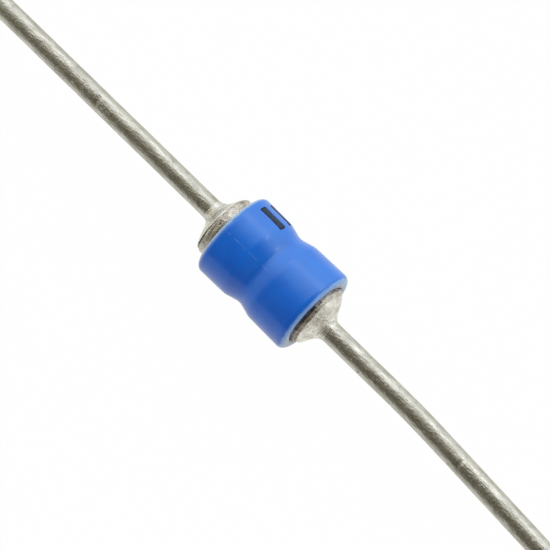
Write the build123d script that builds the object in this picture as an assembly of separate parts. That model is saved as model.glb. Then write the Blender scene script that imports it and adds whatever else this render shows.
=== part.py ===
from build123d import *
import os
from math import cos, radians, tan

# Axial transient voltage suppressor diode, lying on its side.
# Origin: middle of the silicon stack, on the body axis.
# +X runs along the body axis towards the lead that is bent, +Z is up.
# Every size is in millimetres and every angle in degrees.

# Silicon stack: square dies in series, a solder film on each side of each die
die_count = 4
die_side = 2.3
die_thickness = 0.25
die_solder_thickness = 0.05

# Copper slugs that clamp the stack and carry the surge heat away
slug_diameter = 3.95
slug_length = 3.245
slug_edge_chamfer = 0.17

# Silicone ring that seals the junction edges, drawn in between the slugs
coating_sag = 0.215

# Heat-shrunk insulating sleeve, waisted where it sinks in over the stack
sleeve_length = 6.79
sleeve_wall = 0.715
sleeve_shift = 0.185
sleeve_fit = 0.01
sleeve_end_radius = 0.45
sleeve_lip_chamfer = 0.1
left_end_swell = 0.03
right_end_swell = 0.055
waist_shift = -0.03
waist_depth = 0.225
waist_ramp_angle = 15.5
waist_blend_radius = 1.0
shoulder_blend_radius = 1.2

# Wire leads with a forged nail head, soldered to the outer face of each slug
wire_diameter = 1.29
lead_reach = 31.0
lead_tip_chamfer = 0.1
head_diameter = 1.9
head_thickness = 0.2
head_rim_chamfer = 0.08
neck_length = 0.35
head_solder_thickness = 0.05
left_lead_offset = 0.18
right_lead_offset = -0.1

# The gentle bend in the right lead, towards -Y
bend_distance = 11.6
bend_angle = 3.0
bend_radius = 76.0

# Solder caps that climb from the slug rim to the wire
left_cap_height = 0.84
left_cap_fullness = 1.45
left_cap_sweep = 3.4
right_cap_height = 1.02
right_cap_fullness = 1.25
right_cap_sweep = 2.8
cap_skin_thickness = 0.05
cap_section_count = 9

# Sizes that follow from the ones above
slug_radius = slug_diameter / 2
wire_radius = wire_diameter / 2
stack_length = die_count * die_thickness + (die_count + 1) * die_solder_thickness
slug_inner_x = stack_length / 2
slug_outer_x = slug_inner_x + slug_length
head_base_x = slug_outer_x + head_solder_thickness
coating_waist_radius = slug_radius - coating_sag
bore_radius = slug_radius + sleeve_fit
sleeve_radius = bore_radius + sleeve_wall


def film_starts():
    """Where each solder film of the stack begins, from the left slug to the right one."""
    pitch = die_thickness + die_solder_thickness
    return [-slug_inner_x + i * pitch for i in range(die_count + 1)]


def square_layer(start_x, thickness):
    """One square layer of the stack, standing across the body axis."""
    layer = Box(thickness, die_side, die_side)
    return Pos(start_x + thickness / 2, 0, 0) * layer


def silicon_dies():
    starts = [start + die_solder_thickness for start in film_starts()[:-1]]
    return [square_layer(start, die_thickness) for start in starts]


def die_solder_films():
    return [square_layer(start, die_solder_thickness) for start in film_starts()]


def turned(profile):
    """Solid of revolution about the body axis from an open profile that starts and ends on the axis."""
    axis_side = Line(profile @ 1, profile @ 0)
    return revolve(make_face(profile + axis_side), Axis.X)


def junction_coating():
    """Ring of silicone around the stack; its outside is a shallow hollow between the slugs."""
    hollow = ThreePointArc(
        (-slug_inner_x, slug_radius),
        (0, coating_waist_radius),
        (slug_inner_x, slug_radius),
    )
    left_side = Line((-slug_inner_x, 0), (-slug_inner_x, slug_radius))
    right_side = Line((slug_inner_x, slug_radius), (slug_inner_x, 0))
    disc = turned(Wire([left_side, hollow, right_side]))
    return disc - Box(stack_length, die_side, die_side)


def slug():
    """Plain turned copper slug on the +X side, both rims chamfered."""
    rim_radius = slug_radius - slug_edge_chamfer
    profile = Polyline(
        (slug_inner_x, 0),
        (slug_inner_x, rim_radius),
        (slug_inner_x + slug_edge_chamfer, slug_radius),
        (slug_outer_x - slug_edge_chamfer, slug_radius),
        (slug_outer_x, rim_radius),
        (slug_outer_x, 0),
    )
    return turned(profile)


def insulating_sleeve():
    """Thick sleeve with a waist. Its ends are rounded and swell a little, and its bore fits
    the slugs and the coating.
    """
    left_x = sleeve_shift - sleeve_length / 2
    right_x = sleeve_shift + sleeve_length / 2
    ramp = radians(waist_ramp_angle)
    # the two ramps would meet in a sharp V, which the waist blend lifts to the waist depth
    blend_lift = waist_blend_radius * (1 / cos(ramp) - 1)
    valley_depth = waist_depth + blend_lift
    half_waist = valley_depth / tan(ramp)
    lip_radius = bore_radius + sleeve_lip_chamfer
    outside = FilletPolyline(
        (-slug_inner_x, bore_radius),
        (left_x + sleeve_lip_chamfer, bore_radius),
        (left_x, lip_radius),
        (left_x, sleeve_radius + left_end_swell),
        (waist_shift - half_waist, sleeve_radius),
        (waist_shift, sleeve_radius - valley_depth),
        (waist_shift + half_waist, sleeve_radius),
        (right_x, sleeve_radius + right_end_swell),
        (right_x, lip_radius),
        (right_x - sleeve_lip_chamfer, bore_radius),
        (slug_inner_x, bore_radius),
        radius=[
            0,
            0,
            sleeve_end_radius,
            shoulder_blend_radius,
            waist_blend_radius,
            shoulder_blend_radius,
            sleeve_end_radius,
            0,
            0,
        ],
    )
    sunk_bore = ThreePointArc(
        (slug_inner_x, bore_radius),
        (0, coating_waist_radius + sleeve_fit),
        (-slug_inner_x, bore_radius),
    )
    return revolve(make_face(outside + sunk_bore), Axis.X)


def nail_head(offset):
    """Forged head with chamfered rims and its tapered neck, on the +X side."""
    head_radius = head_diameter / 2
    rim_radius = head_radius - head_rim_chamfer
    neck_start_x = head_base_x + head_thickness
    neck_end_x = neck_start_x + neck_length
    profile = Polyline(
        (head_base_x, 0),
        (head_base_x, rim_radius),
        (head_base_x + head_rim_chamfer, head_radius),
        (neck_start_x - head_rim_chamfer, head_radius),
        (neck_start_x, rim_radius),
        (neck_end_x, wire_radius),
        (neck_end_x, 0),
    )
    return Pos(0, offset, 0) * turned(profile)


def nail_headed_lead(offset, path):
    """Wire swept along its path, with its nail head and a slightly chamfered cut end."""
    section = Plane(origin=path @ 0, z_dir=path % 0) * Circle(wire_radius)
    wire = sweep(section, path=path)
    cut_end = wire.faces().sort_by(Axis.X)[-1]
    wire = chamfer(cut_end.edges(), lead_tip_chamfer)
    return nail_head(offset) + wire


def straight_lead(offset):
    path = Line((head_base_x, offset), (lead_reach, offset))
    return nail_headed_lead(offset, path)


def bent_lead(offset):
    """Lead with one long, gentle bend towards -Y."""
    outer_run = lead_reach - bend_distance
    tip_y = offset - outer_run * tan(radians(bend_angle))
    path = FilletPolyline(
        (head_base_x, offset),
        (bend_distance, offset),
        (lead_reach, tip_y),
        radius=bend_radius,
    )
    return nail_headed_lead(offset, path)


def solder_cap(height, fullness, sweep, offset, lead):
    """Solder from the slug's flat rim to the wire, on the +X side.

    fullness rounds it near the rim, and sweep draws it out along the wire. It
    leans with the lead, which stands a little off the body axis, and fills the
    thin gap under the nail head.
    """
    rim_radius = slug_radius - slug_edge_chamfer
    top_radius = wire_radius + cap_skin_thickness
    sections = []
    for i in range(cap_section_count):
        t = i / (cap_section_count - 1)
        fall = (1 - t**fullness) ** sweep
        radius = top_radius + (rim_radius - top_radius) * fall
        centre = (slug_outer_x + height * t, offset * t**2 * (3 - 2 * t), 0)
        sections.append(Plane(origin=centre, z_dir=(1, 0, 0)) * Circle(radius))
    return loft(sections) - lead


def on_left(solid):
    """The same piece on the -X side."""
    return mirror(solid, about=Plane.YZ)


def build_nodes():
    left_lead = straight_lead(left_lead_offset)
    right_lead = bent_lead(right_lead_offset)
    left_cap = solder_cap(
        left_cap_height, left_cap_fullness, left_cap_sweep, left_lead_offset, left_lead
    )
    right_cap = solder_cap(
        right_cap_height, right_cap_fullness, right_cap_sweep, right_lead_offset, right_lead
    )
    nodes = {
        "left_lead": on_left(left_lead),
        "right_lead": right_lead,
        "left_solder_cap": on_left(left_cap),
        "right_solder_cap": right_cap,
        "left_slug": on_left(slug()),
        "right_slug": slug(),
        "junction_coating": junction_coating(),
        "insulating_sleeve": insulating_sleeve(),
    }
    for number, die in enumerate(silicon_dies(), start=1):
        nodes[f"silicon_die_{number}"] = die
    for number, film in enumerate(die_solder_films(), start=1):
        nodes[f"die_solder_{number}"] = film
    return nodes


os.makedirs("parts", exist_ok=True)
for name, shape in build_nodes().items():
    export_step(shape, f"parts/{name}.step")
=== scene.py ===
from math import cos, pi, radians, sin, tan

import bpy
from mathutils import Matrix, Vector


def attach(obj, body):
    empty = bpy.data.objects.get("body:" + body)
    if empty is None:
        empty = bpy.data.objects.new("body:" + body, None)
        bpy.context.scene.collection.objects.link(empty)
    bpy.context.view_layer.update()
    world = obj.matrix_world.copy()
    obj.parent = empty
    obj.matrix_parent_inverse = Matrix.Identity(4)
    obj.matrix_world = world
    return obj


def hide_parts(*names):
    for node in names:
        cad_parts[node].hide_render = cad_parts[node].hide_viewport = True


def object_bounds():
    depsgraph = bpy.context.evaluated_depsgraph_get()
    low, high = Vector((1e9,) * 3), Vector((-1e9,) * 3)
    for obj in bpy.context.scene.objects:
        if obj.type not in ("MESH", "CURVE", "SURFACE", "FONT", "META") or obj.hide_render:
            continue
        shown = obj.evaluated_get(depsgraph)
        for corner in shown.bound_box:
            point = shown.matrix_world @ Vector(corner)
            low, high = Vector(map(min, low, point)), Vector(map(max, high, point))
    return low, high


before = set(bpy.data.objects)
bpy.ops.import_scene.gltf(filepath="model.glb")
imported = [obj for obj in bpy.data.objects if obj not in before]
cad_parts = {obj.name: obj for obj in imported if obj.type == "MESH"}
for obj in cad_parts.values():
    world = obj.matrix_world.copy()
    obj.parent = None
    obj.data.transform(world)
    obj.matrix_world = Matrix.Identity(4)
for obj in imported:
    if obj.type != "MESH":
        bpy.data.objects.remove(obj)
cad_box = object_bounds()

# ---------------------------------------------------------------------------
# Silicon dies: square chips sawn from a wafer, four in series, soldered into one stack.
# Their faces are lapped grey silicon; the sawn edges show fine saw lines.
# ---------------------------------------------------------------------------


def put(tree, kind, sources=None, **settings):
    """Add a node. sources gives each input, by name or number, a value or another node's output."""
    node = tree.nodes.new(kind)
    for name, value in settings.items():
        setattr(node, name, value)
    for key, source in (sources or {}).items():
        if isinstance(source, bpy.types.NodeSocket):
            tree.links.new(source, node.inputs[key])
        else:
            node.inputs[key].default_value = source
    return node


def calc(tree, operation, a, b=0.0):
    """One Math node's result. b is left out where the operation has one input."""
    return put(tree, "ShaderNodeMath", {0: a, 1: b}, operation=operation).outputs[0]


def total(tree, first, *others):
    """The terms added up."""
    for other in others:
        first = calc(tree, "ADD", first, other)
    return first


def product(tree, first, *others):
    """The factors multiplied."""
    for other in others:
        first = calc(tree, "MULTIPLY", first, other)
    return first


def ramp(tree, value, start, end, low=0.0, high=1.0, smooth=False):
    """value carried from start..end to low..high, and held there."""
    sources = {"Value": value, "From Min": start, "From Max": end, "To Min": low, "To Max": high}
    kind = "SMOOTHSTEP" if smooth else "LINEAR"
    return put(tree, "ShaderNodeMapRange", sources, interpolation_type=kind).outputs[0]


def blend_colours(tree, amount, first, second):
    """first where amount is 0, second where it is 1."""
    sources = {0: amount, 6: first, 7: second}
    return put(tree, "ShaderNodeMix", sources, data_type="RGBA").outputs[2]


def start_finish(name):
    """A new, empty material; returns it with its tree and its place on the object in millimetres."""
    finish = bpy.data.materials.new(name)
    finish.use_nodes = True
    tree = finish.node_tree
    tree.nodes.clear()
    metres = put(tree, "ShaderNodeTexCoord").outputs["Object"]
    millimetres = put(tree, "ShaderNodeVectorMath", {0: metres, "Scale": 1000.0}, operation="SCALE")
    return finish, tree, millimetres.outputs[0]


def end_finish(tree, colour, roughness, height, relief, **constants):
    """Close a material: relief is the depth in metres that a height of 1 stands for."""
    bump = put(tree, "ShaderNodeBump", {"Height": height, "Distance": relief, "Strength": 1.0})
    sources = {"Base Color": colour, "Roughness": roughness, "Normal": bump.outputs[0]}
    sources.update({name.replace("_", " "): value for name, value in constants.items()})
    shader = put(tree, "ShaderNodeBsdfPrincipled", sources)
    put(tree, "ShaderNodeOutputMaterial", {"Surface": shader.outputs[0]})


def stretched(tree, place, x, y, z):
    """The place scaled on each axis, so that a grain runs along or across the body."""
    return put(tree, "ShaderNodeVectorMath", {0: place, 1: (x, y, z)}, operation="MULTIPLY").outputs[0]


def noise(tree, place, scale, detail=3.0, rough=0.55, seed=0.0):
    """Cloudy pattern from 0 to 1, its scale in features per unit of place."""
    sources = {"Vector": place, "W": seed, "Scale": scale, "Detail": detail, "Roughness": rough}
    return put(tree, "ShaderNodeTexNoise", sources, noise_dimensions="4D").outputs[0]


def spread(tree, pattern, low, high):
    """A noise pattern carried to low..high, given that most of it lies between 0.3 and 0.7."""
    return ramp(tree, pattern, 0.3, 0.7, low, high)


def dress(finish, *names):
    """Give CAD nodes that stay as they are their material."""
    for name in names:
        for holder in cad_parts[name].material_slots:
            holder.material = finish


def lapped_silicon():
    dark, pale = (0.075, 0.08, 0.09, 1), (0.15, 0.155, 0.165, 1)
    finish, tree, place = start_finish("lapped_silicon")
    sawn = stretched(tree, place, 40.0, 2.0, 2.0)
    saw_lines = noise(tree, sawn, scale=1.0, seed=1.0)
    lapping = noise(tree, place, scale=14.0, detail=5.0, seed=2.0)
    colour = blend_colours(tree, lapping, dark, pale)
    roughness = spread(tree, saw_lines, 0.3, 0.5)
    height = product(tree, saw_lines, lapping)
    end_finish(tree, colour, roughness, height, relief=3e-6, Metallic=0.35)
    return finish


dress(lapped_silicon(), "silicon_die_1", "silicon_die_2", "silicon_die_3", "silicon_die_4")

# ---------------------------------------------------------------------------
# Die solder: five thin films of high-lead solder between slug, dies and slug.
# They froze with a dull, grainy skin at their edges.
# ---------------------------------------------------------------------------


def new_tree(kind, name, inputs, outputs):
    """An empty node group; returns it, its inputs and its output node.

    An input is given as its default, whose form tells the socket's type, or as a socket type alone.
    """
    tree = bpy.data.node_groups.new(name, kind)
    for label, default in inputs.items():
        if isinstance(default, str):
            tree.interface.new_socket(name=label, in_out="INPUT", socket_type=default)
            continue
        if isinstance(default, tuple):
            socket_type = "NodeSocketColor" if len(default) == 4 else "NodeSocketVector"
        else:
            socket_type = "NodeSocketInt" if isinstance(default, int) else "NodeSocketFloat"
        item = tree.interface.new_socket(name=label, in_out="INPUT", socket_type=socket_type)
        item.default_value = default
    for label, socket_type in outputs.items():
        tree.interface.new_socket(name=label, in_out="OUTPUT", socket_type=socket_type)
    given = tree.nodes.new("NodeGroupInput").outputs
    result = tree.nodes.new("NodeGroupOutput")
    return tree, given, result


def tin_skin_group():
    """Frozen tin or solder: a fine grain with brighter crystals, cloudy tone and small dark pits."""
    inputs = {
        "Place": "NodeSocketVector",
        "Bright": (0.7, 0.7, 0.65, 1),
        "Dull": (0.4, 0.39, 0.34, 1),
        "Grain": 8.0,
        "Clouds": 1.2,
        "Pits": 0.5,
        "Gloss": 0.28,
        "Seed": 0.0,
    }
    outputs = {"Colour": "NodeSocketColor", "Roughness": "NodeSocketFloat", "Height": "NodeSocketFloat"}
    tree, given, result = new_tree("ShaderNodeTree", "tin_skin", inputs, outputs)
    place, seed = given["Place"], given["Seed"]
    pits_per_grain = 0.6
    grain_in_tone = 0.45
    most_dull = 0.8
    pit_roughness = 0.25
    cloud_height = 0.8
    pit_height = 0.8

    grain = noise(tree, place, given["Grain"], detail=4.0, rough=0.6, seed=seed)
    clouds = noise(tree, place, given["Clouds"], rough=0.6, seed=total(tree, seed, 3.0))
    pit_scale = product(tree, given["Grain"], pits_per_grain)
    pit_field = noise(tree, place, pit_scale, detail=2.0, seed=total(tree, seed, 7.0))
    pits = product(tree, ramp(tree, pit_field, 0.36, 0.26, smooth=True), given["Pits"])

    bright = ramp(tree, total(tree, product(tree, grain, grain_in_tone), clouds), 0.5, 0.95)
    dull = product(tree, calc(tree, "SUBTRACT", 1.0, bright), most_dull)
    colour = blend_colours(tree, calc(tree, "MAXIMUM", dull, pits), given["Bright"], given["Dull"])

    uneven = spread(tree, clouds, 0.1, -0.07)
    roughness = total(tree, given["Gloss"], uneven, product(tree, pits, pit_roughness))

    height = total(tree, grain, product(tree, clouds, cloud_height))
    height = calc(tree, "SUBTRACT", height, product(tree, pits, pit_height))
    for label, source in {"Colour": colour, "Roughness": roughness, "Height": height}.items():
        tree.links.new(source, result.inputs[label])
    return tree


tin_skin = tin_skin_group()


def tin_looks(tree, place, **looks):
    """The tin skin's colour, roughness and height at a place."""
    return put(tree, "ShaderNodeGroup", {"Place": place, **looks}, node_tree=tin_skin).outputs


def metal_finish(name, relief, stretch=(1.0, 1.0, 1.0), **looks):
    """A solid metal with the tin skin, its grain drawn out by stretch."""
    finish, tree, place = start_finish(name)
    colour, roughness, height = tin_looks(tree, stretched(tree, place, *stretch), **looks)
    end_finish(tree, colour, roughness, height, relief, Metallic=1.0)
    return finish


dress(
    metal_finish(
        "die_solder", relief=4e-6, Bright=(0.55, 0.55, 0.54, 1), Dull=(0.27, 0.27, 0.26, 1),
        Grain=16.0, Clouds=3.0, Gloss=0.45, Seed=11.0,
    ),
    "die_solder_1", "die_solder_2", "die_solder_3", "die_solder_4", "die_solder_5",
)

# ---------------------------------------------------------------------------
# Junction coating: white silicone rubber flowed round the stack and cured there.
# It is soft, slightly cloudy, and holds a little dust.
# ---------------------------------------------------------------------------


def cured_silicone():
    cream, white, dust = (0.72, 0.71, 0.67, 1), (0.82, 0.81, 0.78, 1), (0.45, 0.44, 0.41, 1)
    finish, tree, place = start_finish("cured_silicone")
    clouds = noise(tree, place, scale=2.5, seed=21.0)
    specks = ramp(tree, noise(tree, place, scale=22.0, seed=22.0), 0.66, 0.74)
    colour = blend_colours(tree, specks, blend_colours(tree, clouds, cream, white), dust)
    end_finish(tree, colour, spread(tree, clouds, 0.42, 0.58), clouds, relief=6e-6)
    return finish


dress(cured_silicone(), "junction_coating")

# ---------------------------------------------------------------------------
# Slugs: turned copper cylinders, tin plated, that clamp the stack and soak up the surge.
# Only their outer rims show. Soldering left brown flux beside the right cap and stained the left
# rim in patches. The flux is laid on thickest on the -Y side, and that is painted shade.
# ---------------------------------------------------------------------------

stack_half = 0.625e-3
slug_radius = 1.975e-3
slug_length = 3.245e-3
slug_edge_chamfer = 0.17e-3
slug_face = stack_half + slug_length


def tinned_slug():
    flux_and_shade_brown = (0.20, 0.165, 0.155, 1)
    # in millimetres: where the flux with its painted shade and the stain begin, and where they are full
    right_rim_span, left_rim_span, shade_side_span = (3.40, 3.60), (-3.3, -3.6), (0.9, -0.6)
    finish, tree, place = start_finish("tinned_slug")
    x, y, _ = put(tree, "ShaderNodeSeparateXYZ", {0: place}).outputs
    colour, roughness, height = tin_looks(
        tree, stretched(tree, place, 1.6, 1.0, 1.0), Bright=(0.80, 0.78, 0.74, 1),
        Dull=(0.24, 0.21, 0.17, 1), Grain=4.5, Clouds=1.8, Pits=0.9, Gloss=0.30, Seed=31.0,
    )
    patches = noise(tree, place, scale=3.5, detail=4.0, rough=0.65, seed=35.0)
    flux_patches = ramp(tree, patches, 0.62, 0.45, low=0.4, high=1.0)
    # painted shade: the flux is laid on thickest on the -Y side, the dark side of the tent
    painted_shade_side = ramp(tree, y, *shade_side_span, low=0.15, high=1.0, smooth=True)
    flux_and_shade = product(tree, ramp(tree, x, *right_rim_span), flux_patches, painted_shade_side)
    stain_patches = ramp(tree, patches, 0.50, 0.38, low=0.0, high=0.7)
    stain = product(tree, ramp(tree, x, *left_rim_span), stain_patches)
    colour = blend_colours(tree, calc(tree, "MAXIMUM", flux_and_shade, stain), colour, flux_and_shade_brown)
    end_finish(tree, colour, roughness, height, relief=9e-5, Metallic=1.0)
    return finish


dress(tinned_slug(), "left_slug", "right_slug")

# ---------------------------------------------------------------------------
# Leads: tinned copper wire with a forged nail head, soldered to the outer face of each slug.
# The wire is drawn, so its skin is streaked along it, and the forming tool has nicked it once.
# ---------------------------------------------------------------------------

head_base = slug_face + 0.05e-3
head_radius = 0.95e-3
head_length = 0.2e-3
neck_length = 0.35e-3
wire_radius = 0.645e-3
lead_tip = 31e-3
tip_chamfer = 0.1e-3
left_lead_offset = 0.18e-3
right_lead_offset = -0.1e-3
bend_place = 11.6e-3
bend_turn = radians(3.0)
bend_radius = 76e-3
nick_places = {"left_lead": -13.8e-3, "right_lead": 15.3e-3}


def new_shape_tree(name, inputs):
    """A geometry group: Geometry and Material in, besides the named inputs, and Geometry out."""
    inputs = {"Geometry": "NodeSocketGeometry", **inputs, "Material": "NodeSocketMaterial"}
    return new_tree("GeometryNodeTree", name, inputs, {"Geometry": "NodeSocketGeometry"})


def position(tree):
    return put(tree, "GeometryNodeInputPosition").outputs[0]


def normal(tree):
    return put(tree, "GeometryNodeInputNormal").outputs[0]


def split(tree, vector):
    """A vector's x, y and z."""
    return put(tree, "ShaderNodeSeparateXYZ", {0: vector}).outputs


def field(tree, operation, a, b):
    """One Vector Math node: a vector, or a number for a dot product. SCALE takes a number as b."""
    second = "Scale" if operation == "SCALE" else 1
    node = put(tree, "ShaderNodeVectorMath", {0: a, second: b}, operation=operation)
    return node.outputs["Value" if operation == "DOT_PRODUCT" else "Vector"]


def rounded_line(tree, start, corner_steps, corner_radius, spacing):
    """The start mesh as a line with rounded corners and evenly spaced points."""
    line = put(tree, "GeometryNodeMeshToCurve", {"Mesh": start}).outputs[0]
    sources = {"Curve": line, "Count": corner_steps, "Radius": corner_radius}
    line = put(tree, "GeometryNodeFilletCurve", sources, mode="POLY").outputs[0]
    sources = {"Curve": line, "Length": spacing}
    return put(tree, "GeometryNodeResampleCurve", sources, mode="LENGTH").outputs[0]


def pushed(tree, shape, distance):
    """The surface moved out along its normal."""
    offset = field(tree, "SCALE", normal(tree), distance)
    return put(tree, "GeometryNodeSetPosition", {"Geometry": shape, "Offset": offset}).outputs[0]


def lumpy(tree, shape, depth, rate, seed, mask=1.0, level=0.8):
    """Move the surface in smooth lumps of that many per metre on each axis, the whole lump depth high.

    level is the height of a lump, from 0 to 1, that stays where it is: at 0.8 the surface only sinks.
    """
    place = field(tree, "MULTIPLY", position(tree), rate)
    lift = calc(tree, "SUBTRACT", noise(tree, place, scale=1.0, detail=2.0, seed=seed), level)
    return pushed(tree, shape, product(tree, lift, depth, mask))


def finish_shape(tree, result, shape, crease, finish):
    """Smooth shading with creased edges, then Realize Instances and Set Material."""
    sources = {0: put(tree, "GeometryNodeInputMeshEdgeAngle").outputs[0], 1: crease}
    soft = put(tree, "FunctionNodeCompare", sources, data_type="FLOAT", operation="LESS_THAN")
    for domain, smooth in (("FACE", True), ("EDGE", soft.outputs[0])):
        sources = {"Geometry": shape, "Shade Smooth": smooth}
        shape = put(tree, "GeometryNodeSetShadeSmooth", sources, domain=domain).outputs[0]
    shape = put(tree, "GeometryNodeRealizeInstances", {"Geometry": shape}).outputs[0]
    shape = put(tree, "GeometryNodeSetMaterial", {"Geometry": shape, "Material": finish}).outputs[0]
    tree.links.new(shape, result.inputs[0])


def drawn_lead_tree():
    """Wire along a rounded line, with a nail head and neck at its start and a cut tip."""
    inputs = {
        "Bend Radius": 0.076,
        "Bend Steps": 24,
        "Ring Spacing": 5e-5,
        "Sides": 56,
        "Head Radius": 1e-3,
        "Head Length": 3e-4,
        "Neck Length": 5e-4,
        "Wire Radius": 6e-4,
        "Tip Chamfer": 1e-4,
        "Dent Depth": 1.2e-5,
        "Dents per Metre": (500.0, 1300.0, 1300.0),
        "Nick Place": 0.0147,
        "Nick Width": 2.2e-4,
        "Nick Depth": 3e-5,
        "Nick Side": (0.0, 0.0, 1.0),
        "Seed": 1.0,
        "Crease": 0.6,
    }
    tree, given, result = new_shape_tree("drawn_lead", inputs)
    line = rounded_line(
        tree, given["Geometry"], given["Bend Steps"], given["Bend Radius"], given["Ring Spacing"]
    )
    along = put(tree, "GeometryNodeSplineParameter").outputs["Length"]
    whole = put(tree, "GeometryNodeSplineLength").outputs["Length"]
    neck_end = total(tree, given["Head Length"], given["Neck Length"])
    neck = ramp(tree, along, given["Head Length"], neck_end, given["Head Radius"], given["Wire Radius"])
    # only the last ring is drawn in by the chamfer; this ramp is far wider than the wire before it
    cut_radius = calc(tree, "SUBTRACT", given["Wire Radius"], given["Tip Chamfer"])
    tip = ramp(tree, calc(tree, "SUBTRACT", whole, along), 0.0, given["Tip Chamfer"], cut_radius, 1.0)
    radius = calc(tree, "MINIMUM", neck, tip)
    ring = put(tree, "GeometryNodeCurvePrimitiveCircle", {"Resolution": given["Sides"], "Radius": 1.0})
    sources = {"Curve": line, "Profile Curve": ring.outputs[0], "Scale": radius, "Fill Caps": True}
    wire = put(tree, "GeometryNodeCurveToMesh", sources).outputs[0]
    wire = lumpy(tree, wire, given["Dent Depth"], given["Dents per Metre"], given["Seed"])
    # the nick: a short groove across the side that faces Nick Side
    x = split(tree, position(tree))[0]
    away = calc(tree, "ABSOLUTE", calc(tree, "SUBTRACT", x, given["Nick Place"]))
    near = ramp(tree, away, given["Nick Width"], 0.0, smooth=True)
    facing = field(tree, "DOT_PRODUCT", normal(tree), given["Nick Side"])
    facing = ramp(tree, facing, 0.3, 0.95, smooth=True)
    wire = pushed(tree, wire, product(tree, near, facing, given["Nick Depth"], -1.0))
    finish_shape(tree, result, wire, given["Crease"], given["Material"])
    return tree


def line_mesh(name, points, **marks):
    """Points joined in order; marks are one number for each point."""
    mesh = bpy.data.meshes.new(name)
    mesh.from_pydata(points, [(i, i + 1) for i in range(len(points) - 1)], [])
    for label, values in marks.items():
        mesh.attributes.new(label, "FLOAT", "POINT").data.foreach_set("value", values)
    return mesh


def run_tree(name, start, tree, **values):
    """Run a geometry tree on a start mesh and keep what it makes as a plain mesh object."""
    piece = bpy.data.objects.new(name, start)
    bpy.context.scene.collection.objects.link(piece)
    maker = piece.modifiers.new(tree.name, "NODES")
    maker.node_group = tree
    for item in tree.interface.items_tree:
        label = item.name.replace(" ", "_")
        if item.in_out == "INPUT" and label in values:
            maker[item.identifier] = values[label]
    made = bpy.data.meshes.new_from_object(piece.evaluated_get(bpy.context.evaluated_depsgraph_get()))
    piece.modifiers.remove(maker)
    piece.data = made
    made.name = name
    made.update()
    return piece


def fit_piece(piece, node):
    """The piece stands in for its CAD node and rides with the one rigid body."""
    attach(piece, "root")
    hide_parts(node)


lead_tree = drawn_lead_tree()
lead_tin = metal_finish(
    "tinned_copper", relief=3.6e-5, stretch=(0.4, 1.2, 1.2), Bright=(0.64, 0.64, 0.60, 1),
    Dull=(0.30, 0.295, 0.25, 1), Grain=8.0, Clouds=2.6, Pits=0.8, Gloss=0.23, Seed=41.0,
)
tip_y = right_lead_offset - (lead_tip - bend_place) * tan(bend_turn)
lead_lines = {
    "left_lead": [(-head_base, left_lead_offset, 0), (-lead_tip, left_lead_offset, 0)],
    "right_lead": [
        (head_base, right_lead_offset, 0),
        (bend_place, right_lead_offset, 0),
        (lead_tip, tip_y, 0),
    ],
}
for number, (node, points) in enumerate(lead_lines.items()):
    lead = run_tree(
        node + "_wire", line_mesh(node, points), lead_tree,
        Bend_Radius=bend_radius, Head_Radius=head_radius, Head_Length=head_length,
        Neck_Length=neck_length, Wire_Radius=wire_radius, Tip_Chamfer=tip_chamfer, Dent_Depth=9e-6,
        Nick_Place=nick_places[node], Nick_Depth=1.8e-5, Seed=50.0 + number, Material=lead_tin,
    )
    fit_piece(lead, node)

# ---------------------------------------------------------------------------
# Solder caps: solder that ran from the slug's flat rim up to the wire and froze there, in lumps
# and ripples. The left one is a rounded mound that leans late, the right one a hollow-sided cone;
# both lean with their wire.
# ---------------------------------------------------------------------------

cap_rim_radius = slug_radius - slug_edge_chamfer
cap_skin = 0.05e-3
cap_skin_taper = 0.8
cap_steps = 24
rim_fade, wire_fade = 6, 10
weld_distance = 2e-7


def point_mark(tree, name):
    """A number kept on each point under that name."""
    return put(tree, "GeometryNodeInputNamedAttribute", {"Name": name}, data_type="FLOAT").outputs[0]


def mark_points(tree, shape, name, value):
    """Keep a number on each point."""
    sources = {"Geometry": shape, "Name": name, "Value": value}
    node = put(tree, "GeometryNodeStoreNamedAttribute", sources, data_type="FLOAT", domain="POINT")
    return node.outputs[0]


def at_point(tree, line, value, index, data_type):
    """A value read from the line's point of that number."""
    sources = {0: line, "Value": value, "Index": index}
    return put(tree, "GeometryNodeSampleIndex", sources, data_type=data_type).outputs[0]


def welded(tree, shape, place):
    """The points moved to their place, and joined where they meet."""
    shape = put(tree, "GeometryNodeSetPosition", {"Geometry": shape, "Position": place}).outputs[0]
    sources = {"Geometry": shape, "Distance": weld_distance}
    return put(tree, "GeometryNodeMergeByDistance", sources).outputs[0]


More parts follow.
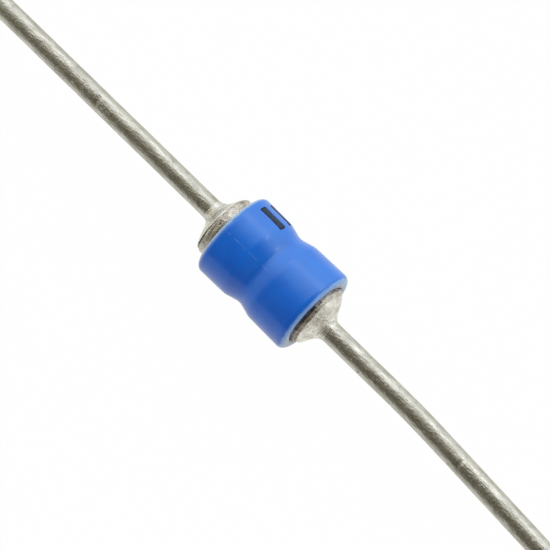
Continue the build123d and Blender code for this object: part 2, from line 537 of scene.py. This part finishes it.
def turned_tree():
    """A profile spun about the X axis. A profile point is (x, radius, how far its ring leans to +Y).

    The outside runs towards +X, so that its faces look outwards. The mark corner_radius rounds a
    corner, and lumps tells how much of the lumps and ripples a ring gets.
    """
    inputs = {
        "Corner Steps": 8,
        "Ring Spacing": 4e-5,
        "Sides": 160,
        "Lump Depth": 2e-5,
        "Lump Level": 0.8,
        "Lumps per Metre": (900.0, 900.0, 900.0),
        "Ripple Depth": 0.0,
        "Ripples per Metre": (6000.0, 500.0, 500.0),
        "Seed": 1.0,
        "Crease": 0.7,
    }
    tree, given, result = new_shape_tree("turned_piece", inputs)
    corner_radius, lumps = point_mark(tree, "corner_radius"), point_mark(tree, "lumps")
    line = rounded_line(
        tree, given["Geometry"], given["Corner Steps"], corner_radius, given["Ring Spacing"]
    )
    count = put(tree, "GeometryNodeAttributeDomainSize", {0: line}, component="CURVE")
    rings = count.outputs["Point Count"]
    # a flat net of 1 by 1 is rolled up: its x counts the rings, its y the turn
    columns = total(tree, given["Sides"], 1.0)
    sources = {"Size X": 1.0, "Size Y": 1.0, "Vertices X": rings, "Vertices Y": columns}
    net = put(tree, "GeometryNodeMeshGrid", sources).outputs["Mesh"]
    along, around, _ = split(tree, position(tree))
    last_ring = calc(tree, "SUBTRACT", rings, 1.0)
    ring = calc(tree, "ROUND", product(tree, total(tree, along, 0.5), last_ring))
    turn = product(tree, total(tree, around, 0.5), -2 * pi)
    point = at_point(tree, line, position(tree), ring, "FLOAT_VECTOR")
    net = mark_points(tree, net, "lumps", at_point(tree, line, lumps, ring, "FLOAT"))
    x, radius, lean = split(tree, point)
    y = total(tree, lean, product(tree, radius, calc(tree, "COSINE", turn)))
    z = product(tree, radius, calc(tree, "SINE", turn))
    shape = welded(tree, net, put(tree, "ShaderNodeCombineXYZ", {0: x, 1: y, 2: z}).outputs[0])
    for label, seed in (("Lump", given["Seed"]), ("Ripple", total(tree, given["Seed"], 5.0))):
        depth, rate = given[label + " Depth"], given[label + "s per Metre"]
        shape = lumpy(tree, shape, depth, rate, seed, lumps, given["Lump Level"])
    finish_shape(tree, result, shape, given["Crease"], given["Material"])
    return tree


def ease(t):
    t = min(1.0, max(0.0, t))
    return t * t * (3 - 2 * t)


def cap_profile(side, height, fullness, sweep, lean, sag, lean_start, lean_end):
    """Outside from the slug's rim to the wire, then back along the wire, neck and head to the slug.

    fullness rounds it near the rim and sweep draws it out along the wire. Its rings sag to -Y at the
    slug by sag, and reach the wire's own lean between lean_start and lean_end of the height.
    """
    points, lumps = [(slug_face, 0.0, 0.0)], [0.0]
    for i in range(cap_steps + 1):
        t = i / cap_steps
        top_radius = wire_radius + cap_skin * (1 - cap_skin_taper * t**4)
        radius = top_radius + (cap_rim_radius - top_radius) * (1 - t**fullness) ** sweep
        middle = (lean + sag) * ease((t - lean_start) / (lean_end - lean_start)) - sag
        points.append((slug_face + height * t, radius, middle))
        # smooth where it meets the slug and the wire
        lumps.append(min(1.0, rim_fade * t) * min(1.0, wire_fade * (1 - t)))
    # the inside follows the lead, which fills it
    neck_start = head_base + head_length
    for x, radius in [
        (slug_face + height, wire_radius),
        (neck_start + neck_length, wire_radius),
        (neck_start, head_radius),
        (head_base, head_radius),
        (head_base, 0.0),
    ]:
        points.append((x, radius, lean))
        lumps.append(0.0)
    # a profile on the -X side is turned round, so that it also runs towards +X
    return [(side * x, radius, y) for x, radius, y in points[::side]], lumps[::side]


turned = turned_tree()
cap_solder = metal_finish(
    "cap_solder", relief=8e-5, stretch=(2.2, 1.0, 1.0), Bright=(0.93, 0.93, 0.90, 1),
    Dull=(0.36, 0.36, 0.33, 1), Grain=4.0, Clouds=1.5, Pits=0.6, Gloss=0.17, Seed=61.0,
)
caps = {
    "left_solder_cap": dict(side=-1, height=0.98e-3, fullness=1.58, sweep=3.2, lean=left_lead_offset,
                            sag=0.11e-3, lean_start=0.15, lean_end=0.78),
    "right_solder_cap": dict(side=1, height=1.02e-3, fullness=1.5, sweep=2.75, lean=right_lead_offset,
                             sag=0.02e-3, lean_start=0.0, lean_end=1.0),
}
cap_seeds = {"left_solder_cap": 71.0, "right_solder_cap": 73.0}
for node, sizes in caps.items():
    points, lumps = cap_profile(**sizes)
    start = line_mesh(node, points, corner_radius=[0.0] * len(points), lumps=lumps)
    cap = run_tree(
        node + "_skin", start, turned,
        Ring_Spacing=2.5e-5, Sides=192, Lump_Level=0.5,
        Lump_Depth=5e-5, Lumps_per_Metre=(1100.0, 1100.0, 1100.0),
        Ripple_Depth=6e-5, Ripples_per_Metre=(9000.0, 700.0, 700.0),
        Seed=cap_seeds[node], Material=cap_solder,
    )
    fit_piece(cap, node)

# ---------------------------------------------------------------------------
# Insulating sleeve: thick blue plastic shrunk on hot over the slugs and the junction. It sank in
# between the slugs as a waist. Its ends are rounded, with a painted highlight along them and a
# painted reflection on the right end's face, and it has painted shade where it meets the slugs.
# One broken scratch runs along it, a little to the -Y side of the top.
# ---------------------------------------------------------------------------

bore_radius = slug_radius + 0.01e-3
bore_sag = 0.215e-3
sleeve_radius = bore_radius + 0.715e-3
sleeve_shift = 0.185e-3
sleeve_half = 3.395e-3
sleeve_left, sleeve_right = sleeve_shift - sleeve_half, sleeve_shift + sleeve_half
sleeve_end_round = 0.38e-3
lip_chamfer = 0.1e-3
lip_round = 0.03e-3
left_swell = 0.03e-3
right_swell = 0.055e-3
waist_shift = -0.03e-3
waist_depth = 0.225e-3
waist_ramp = radians(15.5)
waist_round = 1.0e-3
shoulder_round = 1.2e-3


def sleeve_profile():
    """From the middle of the bore out over the left end, the waist and the right end, and back.

    Each row is x, radius, corner radius and lumps.
    """
    valley_depth = waist_depth + waist_round * (1 / cos(waist_ramp) - 1)
    half_waist = valley_depth / tan(waist_ramp)
    lip = bore_radius + lip_chamfer
    # the bore sinks over the coating, from the slugs to the middle
    sunk = [(t * stack_half, bore_radius - bore_sag * (1 - t * t), 0, 0) for t in (1, 0.6, 0)]
    return [
        *[(-x, radius, 0, 0) for x, radius, _, _ in sunk[::-1]],
        (sleeve_left + lip_chamfer, bore_radius, 0, 0),
        (sleeve_left, lip, lip_round, 0.5),
        (sleeve_left, sleeve_radius + left_swell, sleeve_end_round, 1),
        (waist_shift - half_waist, sleeve_radius, shoulder_round, 1),
        (waist_shift, sleeve_radius - valley_depth, waist_round, 1),
        (waist_shift + half_waist, sleeve_radius, shoulder_round, 1),
        (sleeve_right, sleeve_radius + right_swell, sleeve_end_round, 1),
        (sleeve_right, lip, lip_round, 0.5),
        (sleeve_right - lip_chamfer, bore_radius, 0, 0),
        *sunk,
    ]


def shrunk_plastic():
    deep_blue, clear_blue = (0.001, 0.17, 0.80, 1), (0.002, 0.20, 0.88, 1)
    left_lip_highlight_blue, right_lip_highlight_blue = (0.40, 0.60, 0.80, 1), (0.23, 0.49, 1.0, 1)
    end_face_reflection_blue, gap_shade_blue = (0.22, 0.42, 0.82, 1), (0.02, 0.07, 0.25, 1)
    scuff_blue, scratch_blue = (0.10, 0.28, 0.80, 1), (0.30, 0.48, 0.86, 1)
    scuff_strength, scratch_strength = 0.25, 0.35
    # in millimetres: where each begins, and where it is full
    left_lip_highlight_span, right_lip_highlight_span, end_face_reflection_span, gap_shade_span = (0.30, 0.08), (0.21, 0.11), (0.04, 0.0), (0.0, 0.22)
    scratch_middle, scratch_reach = -1.3, (1.8, 1.5)
    # in radians about the body axis, from the top towards +Y
    scratch_place, scratch_width = -0.235, (0.013, 0.004)

    finish, tree, place = start_finish("blue_sleeve")
    clouds = noise(tree, place, scale=0.8, seed=81.0)
    skin = noise(tree, place, scale=16.0, seed=82.0)
    streaks = noise(tree, stretched(tree, place, 0.7, 9.0, 9.0), scale=1.0, seed=83.0)
    scuffs = ramp(tree, streaks, 0.68, 0.78)
    colour = blend_colours(tree, ramp(tree, clouds, 0.35, 0.65), deep_blue, clear_blue)
    colour = blend_colours(tree, product(tree, scuffs, scuff_strength), colour, scuff_blue)

    # painted highlight along the lips, by how far a spot is from each end
    x, y, z = split(tree, place)
    ragged = spread(tree, noise(tree, place, scale=3.0, detail=2.0, seed=84.0), -0.03, 0.03)
    from_left = total(tree, x, -1000 * sleeve_left, ragged)
    from_right = total(tree, calc(tree, "SUBTRACT", 1000 * sleeve_right, x), ragged)
    colour = blend_colours(tree, ramp(tree, from_left, *left_lip_highlight_span, smooth=True), colour, left_lip_highlight_blue)
    colour = blend_colours(tree, ramp(tree, from_right, *right_lip_highlight_span, smooth=True), colour, right_lip_highlight_blue)
    # painted reflection of the bright surroundings on the right end's face
    colour = blend_colours(tree, ramp(tree, from_right, *end_face_reflection_span), colour, end_face_reflection_blue)
    # painted shade where it meets the slug, more so on top
    radius = calc(tree, "SQRT", total(tree, product(tree, y, y), product(tree, z, z)))
    shade_from = ramp(tree, z, 0.6, 2.0, low=2.25, high=2.52)
    gap_shade = ramp(tree, calc(tree, "SUBTRACT", shade_from, radius), *gap_shade_span, smooth=True)
    colour = blend_colours(tree, gap_shade, colour, gap_shade_blue)

    aside = calc(tree, "ABSOLUTE", total(tree, calc(tree, "ARCTAN2", y, z), -scratch_place))
    broken = noise(tree, stretched(tree, place, 2.2, 0.0, 0.0), scale=1.0, seed=85.0)
    from_middle = calc(tree, "ABSOLUTE", total(tree, x, -scratch_middle))
    scratch = product(
        tree, ramp(tree, aside, *scratch_width), ramp(tree, broken, 0.45, 0.55),
        ramp(tree, from_middle, *scratch_reach), scratch_strength,
    )
    colour = blend_colours(tree, scratch, colour, scratch_blue)

    roughness = total(tree, spread(tree, clouds, 0.19, 0.25), product(tree, scuffs, 0.08))
    height = total(tree, product(tree, skin, 0.25), product(tree, clouds, 2.0))
    end_finish(
        tree, colour, roughness, height, relief=4e-6,
        Specular_IOR_Level=0.85, Specular_Tint=(0.85, 1.0, 0.9, 1),
    )
    return finish


x_places, radii, corner_radii, lumps = zip(*sleeve_profile())
points = [(x, radius, 0.0) for x, radius in zip(x_places, radii)]
start = line_mesh("sleeve", points, corner_radius=corner_radii, lumps=lumps)
sleeve = run_tree(
    "insulating_sleeve_skin", start, turned,
    Corner_Steps=10, Ring_Spacing=5e-5, Sides=240, Lump_Depth=2.5e-5,
    Lumps_per_Metre=(350.0, 350.0, 350.0), Seed=91.0, Crease=1.0, Material=shrunk_plastic(),
)
fit_piece(sleeve, "insulating_sleeve")

# ---------------------------------------------------------------------------
# Print: two plain bars of black ink, stamped on the sleeve near its left end.
# The ink lies a hundredth of a millimetre proud and is blackest along its rim, where it piled up.
# ---------------------------------------------------------------------------


def ink_bar_tree():
    """A closed film of ink laid on a surface: a thin pillow whose underside is sunk in it."""
    inputs = {
        "Surface": "NodeSocketObject",
        "Middle": -1.9e-3,
        "Turn": 0.77,
        "Length": 1.7e-3,
        "Width": 0.5e-3,
        "Corner": 0.08e-3,
        "Flare": 0.15,
        "Thickness": 1e-5,
        "Radius": 2.7e-3,
    }
    cast_height = 4e-3
    sunk_depth = 1.2e-5
    edge_round = 2.5e-5
    rim_inside, rim_outside = 1.3e-4, 5e-5
    body_share, rim_share = 0.7, 0.3
    crease = 1.2
    tree, given, result = new_shape_tree("ink_bar", inputs)
    # the start mesh is a square net from -1 to 1, twice, its z telling top (1) from underside (0)
    u, v, top = split(tree, position(tree))
    half_length = product(tree, given["Length"], 0.5)
    half_width = product(tree, given["Width"], 0.5)

    # outline: rounded corners, and a little wider at both ends
    x = product(tree, u, half_length)
    from_middle = calc(tree, "ABSOLUTE", x)
    corner_start = calc(tree, "SUBTRACT", half_length, given["Corner"])
    into_corner = ramp(tree, from_middle, corner_start, half_length)
    level = calc(tree, "SQRT", calc(tree, "SUBTRACT", 1.0, product(tree, into_corner, into_corner)))
    inset = product(tree, calc(tree, "SUBTRACT", 1.0, level), given["Corner"])
    flare = total(tree, 1.0, product(tree, given["Flare"], product(tree, u, u)))
    reach = calc(tree, "SUBTRACT", product(tree, half_width, flare), inset)
    across = product(tree, v, reach)

    # each point is cast onto the surface from outside
    angle = total(tree, given["Turn"], calc(tree, "DIVIDE", across, given["Radius"]))
    turned_out = {1: calc(tree, "SINE", angle), 2: calc(tree, "COSINE", angle)}
    outward = put(tree, "ShaderNodeCombineXYZ", turned_out).outputs[0]
    middle = put(tree, "ShaderNodeCombineXYZ", {0: total(tree, given["Middle"], x)}).outputs[0]
    target = put(tree, "GeometryNodeObjectInfo", {"Object": given["Surface"]}).outputs["Geometry"]
    sources = {
        "Target Geometry": target,
        "Source Position": field(tree, "ADD", middle, field(tree, "SCALE", outward, cast_height)),
        "Ray Direction": field(tree, "SCALE", outward, -1.0),
        "Ray Length": cast_height,
    }
    hit = put(tree, "GeometryNodeRaycast", sources, data_type="FLOAT").outputs["Hit Position"]

    # the top swells from the edge, which stays under the surface
    edge_u = calc(tree, "SUBTRACT", half_length, from_middle)
    edge_v = calc(tree, "SUBTRACT", reach, calc(tree, "ABSOLUTE", across))
    edge = calc(tree, "MINIMUM", edge_u, edge_v)
    rim = ramp(tree, edge, rim_outside, rim_inside, low=1.0, high=0.0, smooth=True)
    thickness_here = total(tree, body_share, product(tree, rim, rim_share))
    thickness = product(tree, given["Thickness"], thickness_here)
    swell = product(tree, total(tree, thickness, sunk_depth), ramp(tree, edge, 0.0, edge_round), top)
    lift = calc(tree, "SUBTRACT", swell, sunk_depth)
    film = mark_points(tree, given["Geometry"], "rim", rim)
    film = welded(tree, film, field(tree, "ADD", hit, field(tree, "SCALE", outward, lift)))
    finish_shape(tree, result, film, crease, given["Material"])
    return tree


def film_net(name, columns=70, rows=20):
    """Two square nets from -1 to 1, one over the other, facing away from each other."""
    mesh = bpy.data.meshes.new(name)
    points, faces = [], []
    for top in (1, 0):
        first = len(points)
        for i in range(columns + 1):
            points += [(2 * i / columns - 1, 2 * j / rows - 1, top) for j in range(rows + 1)]
        for i in range(columns):
            for j in range(rows):
                a = first + i * (rows + 1) + j
                corners = (a, a + rows + 1, a + rows + 2, a + 1)
                faces.append(corners if top else corners[::-1])
    mesh.from_pydata(points, [], faces)
    return mesh


def stamping_ink():
    full_ink, thin_ink = (0.010, 0.022, 0.045, 1), (0.045, 0.085, 0.15, 1)
    rim_ink = (0.002, 0.002, 0.006, 1)
    finish, tree, place = start_finish("stamping_ink")
    rim = put(tree, "ShaderNodeAttribute", attribute_name="rim").outputs["Fac"]
    grain = noise(tree, place, scale=14.0, seed=101.0)
    body = blend_colours(tree, ramp(tree, grain, 0.35, 0.65), full_ink, thin_ink)
    colour = blend_colours(tree, rim, body, rim_ink)
    roughness = spread(tree, grain, 0.45, 0.6)
    end_finish(tree, colour, roughness, grain, relief=3e-6, Specular_IOR_Level=0.2)
    return finish


ink_tree = ink_bar_tree()
ink = stamping_ink()
ink_bars = {
    "ink_bar_1": dict(Middle=-1.68e-3, Turn=radians(43.7), Length=1.70e-3, Width=0.52e-3, Corner=0.13e-3),
    "ink_bar_2": dict(Middle=-1.665e-3, Turn=radians(65.5), Length=1.61e-3, Width=0.39e-3),
}
for name, sizes in ink_bars.items():
    bar = run_tree(name, film_net(name), ink_tree, Surface=sleeve, Material=ink, **sizes)
    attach(bar, "root")

# ---------------------------------------------------------------------------
# Studio: a white table that the sleeve lies on and a bright tent with one dark side. Two softboxes
# on the +Y side give the sheen and a glint, and a blue one fills the shaded side.
# The camera looks down at the part from close by, through a long lens.
# ---------------------------------------------------------------------------

scene = bpy.context.scene
white = (1, 1, 1, 1)


def white_table():
    paper_grey, warm_white = (0.7, 0.7, 0.7, 1), (1, 0.98, 0.88, 1)
    seen_share = 0.99
    shade_span = (-0.015, -0.005)
    finish = bpy.data.materials.new("white_table")
    finish.use_nodes = True
    tree = finish.node_tree
    tree.nodes.clear()
    paper = put(tree, "ShaderNodeBsdfDiffuse", {"Color": paper_grey})
    rays = put(tree, "ShaderNodeLightPath").outputs
    seen = calc(tree, "MAXIMUM", rays["Is Camera Ray"], rays["Is Transmission Ray"])
    # in the metal it looks a little warm
    tint = blend_colours(tree, seen, warm_white, white)
    glow = put(tree, "ShaderNodeEmission", {"Color": tint, "Strength": 1.0})
    # far out on the -Y side, metal and plastic see it in the shade
    y = split(tree, put(tree, "ShaderNodeTexCoord").outputs["Object"])[1]
    near = ramp(tree, y, *shade_span, low=0.25, high=0.85, smooth=True)
    mirrored = product(tree, rays["Is Glossy Ray"], near)
    share = calc(tree, "MAXIMUM", product(tree, seen, seen_share), mirrored)
    lit = put(tree, "ShaderNodeMixShader", {0: share, 1: paper.outputs[0], 2: glow.outputs[0]})
    # from underneath the table lets the camera look through
    below = put(tree, "ShaderNodeNewGeometry").outputs["Backfacing"]
    clear = put(tree, "ShaderNodeBsdfTransparent")
    surface = put(tree, "ShaderNodeMixShader", {0: below, 1: lit.outputs[0], 2: clear.outputs[0]})
    put(tree, "ShaderNodeOutputMaterial", {"Surface": surface.outputs[0]})
    return finish


table_height = cad_box[0].z
table_mesh = bpy.data.meshes.new("table")
table_corners = [(x, y, table_height) for x, y in ((-1, -1), (1, -1), (1, 1), (-1, 1))]
table_mesh.from_pydata(table_corners, [], [(0, 1, 2, 3)])
table_mesh.materials.append(white_table())
table_top = bpy.data.objects.new("table", table_mesh)
scene.collection.objects.link(table_top)


def blend(tree, amount, first, second):
    """first where amount is 0, second where it is 1, both numbers."""
    return ramp(tree, amount, 0.0, 1.0, first, second)


def light_tent():
    """Bright on the +Y side and dark on the -Y side, which gives the metal its dark line.

    The dark side is darkest over the middle, and lets in some light towards both ends.
    """
    warm_shade = (1, 0.92, 0.68, 1)
    shade_edge, low_light_span = (radians(-40), radians(15)), (radians(-90), radians(-50))
    # along the x of a direction, from -1 at the left to 1 at the right
    slant_span, left_span, right_span = (-0.29, -0.09), (-0.25, -0.14), (-0.05, 0.1)
    left_end_span, right_end_span = (-0.42, -0.85), (0.45, 0.95)
    world = bpy.data.worlds.new("light_tent")
    world.use_nodes = True
    tree = world.node_tree
    tree.nodes.clear()
    x, y, z = split(tree, put(tree, "ShaderNodeTexCoord").outputs["Generated"])
    tilt = calc(tree, "ARCTAN2", product(tree, y, -1.0), z)
    # the near edge of the dark side runs slantwise
    slanted = total(tree, ramp(tree, x, *slant_span, low=-0.3, high=0.3), tilt)
    dark = ramp(tree, slanted, *shade_edge, smooth=True)

    # the light level over the middle and at both ends, each from the bright side to the dark one
    bright_level = ramp(tree, tilt, *low_light_span, low=1.1, high=1.5)
    left_level = ramp(tree, x, *left_span, low=0.30, high=0.05)
    dark_level = total(tree, left_level, ramp(tree, x, *right_span, low=0.0, high=0.15))
    middle = blend(tree, dark, bright_level, dark_level)
    right_end = blend(tree, dark, 1.0, 0.45)
    left_end = blend(tree, dark, 1.25, 0.95)
    level = blend(tree, ramp(tree, x, *right_end_span, smooth=True), middle, right_end)
    level = blend(tree, ramp(tree, x, *left_end_span, smooth=True), level, left_end)
    tint = blend_colours(tree, dark, white, warm_shade)

    # the camera itself sees plain white
    seen = put(tree, "ShaderNodeLightPath").outputs["Is Camera Ray"]
    level = put(tree, "ShaderNodeMix", {0: seen, 2: level, 3: 1.0}, data_type="FLOAT").outputs[0]
    sources = {"Color": blend_colours(tree, seen, tint, white), "Strength": level}
    sky = put(tree, "ShaderNodeBackground", sources)
    put(tree, "ShaderNodeOutputWorld", {"Surface": sky.outputs[0]})
    return world


scene.world = light_tent()


def softbox(name, aside, distance, lean, width, height, radiance):
    """A softbox that looks at the part, its width along X. lean turns it from overhead towards +Y."""
    lamp = bpy.data.lights.new(name, "AREA")
    lamp.shape = "RECTANGLE"
    lamp.size, lamp.size_y = width, height
    lamp.energy = pi * width * height * radiance
    lamp_object = bpy.data.objects.new(name, lamp)
    scene.collection.objects.link(lamp_object)
    place = Vector((aside, distance * sin(lean), distance * cos(lean)))
    lamp_object.location = place
    lamp_object.rotation_euler = (-place).to_track_quat("-Z", "Y").to_euler()
    return lamp_object


softbox("sheen", aside=-0.095, distance=0.5, lean=radians(46), width=0.36, height=0.14, radiance=0.45)
softbox("glint", aside=0.04, distance=0.5, lean=radians(41.6), width=0.12, height=0.05, radiance=2.4)
# the metal doesn't mirror the blue one
fill = softbox("fill", aside=0.0, distance=0.6, lean=radians(-50), width=0.6, height=0.6, radiance=0.55)
fill.data.color = (0.05, 0.03, 1.0)
fill.visible_glossy = False

camera_turn = radians(-44.69)
camera_height = radians(74.15)
camera_distance = 0.250
centre_aside = 0.251e-3
centre_below = 0.223e-3
level_reach = cos(camera_height)
look = Vector((level_reach * cos(camera_turn), level_reach * sin(camera_turn), sin(camera_height)))
right = Vector((-sin(camera_turn), cos(camera_turn), 0.0))
up = look.cross(right)
target = right * centre_aside - up * centre_below
lens = bpy.data.cameras.new("camera")
lens.lens = 293.0
lens.sensor_width = 36.0
lens.clip_start = 0.01
lens.clip_end = 10.0
camera = bpy.data.objects.new("camera", lens)
scene.collection.objects.link(camera)
turn = Matrix((right, up, look)).transposed()
camera.matrix_world = Matrix.Translation(target + look * camera_distance) @ turn.to_4x4()
scene.camera = camera
scene.view_settings.view_transform = "Standard"
